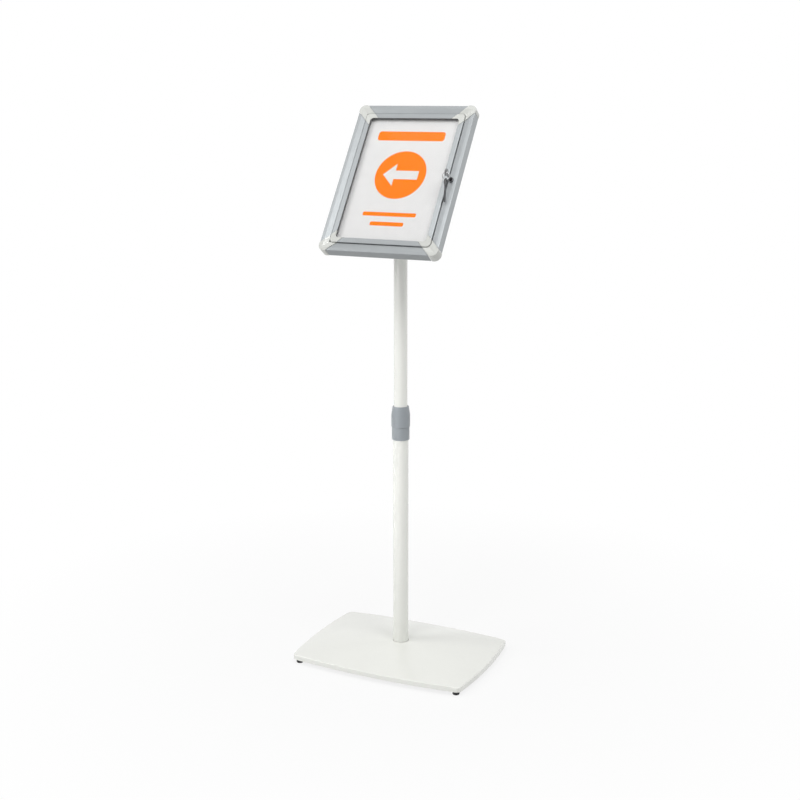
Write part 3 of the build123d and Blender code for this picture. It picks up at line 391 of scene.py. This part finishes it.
def white_world():
    """White surroundings that light the stand less than they are seen."""
    world = bpy.data.worlds.new("studio")
    world.use_nodes = True
    tree = world.node_tree
    sky = tree.nodes["Background"]
    set_inputs(sky, Color=WHITE)
    level = put(tree, "ShaderNodeMapRange", To_Min=WORLD_LIGHT, To_Max=WORLD_SEEN)
    tree.links.new(seen_rays(tree), level.inputs["Value"])
    tree.links.new(level.outputs["Result"], sky.inputs["Strength"])
    bpy.context.scene.world = world


def pale_floor():
    """Floor that fades to the white of the background away from the stand."""
    bpy.ops.mesh.primitive_plane_add(size=FLOOR_SIZE)
    floor = bpy.context.object
    floor.name = "floor"
    made, tree, shader = blank("pale_floor")
    where = place_on(tree)
    clouds = noise(tree, where, FLOOR_CLOUDS)
    tree.links.new(between(tree, clouds, *FLOOR_TONES), shader.inputs["Base Color"])
    set_inputs(shader, Roughness=0.8)
    away = tree.nodes.new("ShaderNodeVectorMath")
    away.operation = "LENGTH"
    tree.links.new(where, away.inputs[0])
    fade = put(tree, "ShaderNodeMapRange", From_Min=FADE_START, From_Max=FADE_END,
               To_Min=FLOOR_WHITE_NEAR, To_Max=FLOOR_WHITE_FAR)
    tree.links.new(away.outputs["Value"], fade.inputs["Value"])
    share = reckon(tree, "MULTIPLY", fade.outputs["Result"], seen_rays(tree))
    glow = put(tree, "ShaderNodeEmission", Color=WHITE, Strength=1.0)
    both = tree.nodes.new("ShaderNodeMixShader")
    tree.links.new(share, both.inputs["Fac"])
    tree.links.new(shader.outputs["BSDF"], both.inputs[1])
    tree.links.new(glow.outputs["Emission"], both.inputs[2])
    tree.links.new(both.outputs["Shader"], tree.nodes["Material Output"].inputs["Surface"])
    floor.data.materials.append(made)


white_world()
pale_floor()
softbox("key", place=(-2.4, -2.0, 2.3), target=(0.0, 0.0, 0.7), size=(1.6, 1.6), power=43.0)
softbox("top", place=(0.0, 0.3, 3.2), target=(0.0, 0.0, 0.5), size=(2.4, 2.4), power=18.0)
softbox("front_high", place=(0.0, -1.75, 3.45), target=(0.0, 0.0, 1.0), size=(0.8, 0.8), power=24.0)
softbox("front_low", place=(-0.85, -2.3, 0.47), target=(0.0, 0.0, 0.45), size=(1.0, 0.3), power=0.29,
        beam=20.0)
softbox("right", place=(1.96, -1.13, 3.06), target=(0.0, 0.0, 0.8), size=(1.4, 1.4), power=26.5)
softbox("right_back", place=(2.31, 1.81, 1.42), target=(0.0, 0.0, 0.8), size=(1.4, 1.8), power=8.5)


# Camera

AZIMUTH = math.radians(25.373)
ELEVATION = math.radians(13.175)
ROLL = math.radians(-0.045)
CAMERA_PLACE = (1.15467, -2.43815, 1.210)
SENSOR_WIDTH = 36.0
FOCAL_LENGTH = 59.231

UP = Vector((0.0, 0.0, 1.0))
back = Vector((math.sin(AZIMUTH) * math.cos(ELEVATION), -math.cos(AZIMUTH) * math.cos(ELEVATION),
               math.sin(ELEVATION)))
right = UP.cross(back).normalized()
above = back.cross(right)
turned_right = right * math.cos(ROLL) + above * math.sin(ROLL)
turned_above = above * math.cos(ROLL) - right * math.sin(ROLL)
view = bpy.data.cameras.new("view")
view.sensor_width = SENSOR_WIDTH
view.lens = FOCAL_LENGTH
camera = bpy.data.objects.new("view", view)
camera_axes = Matrix((turned_right, turned_above, back)).transposed().to_4x4()
camera.matrix_world = Matrix.Translation(CAMERA_PLACE) @ camera_axes
bpy.context.scene.collection.objects.link(camera)
bpy.context.scene.camera = camera
bpy.context.scene.view_settings.view_transform = "Standard"
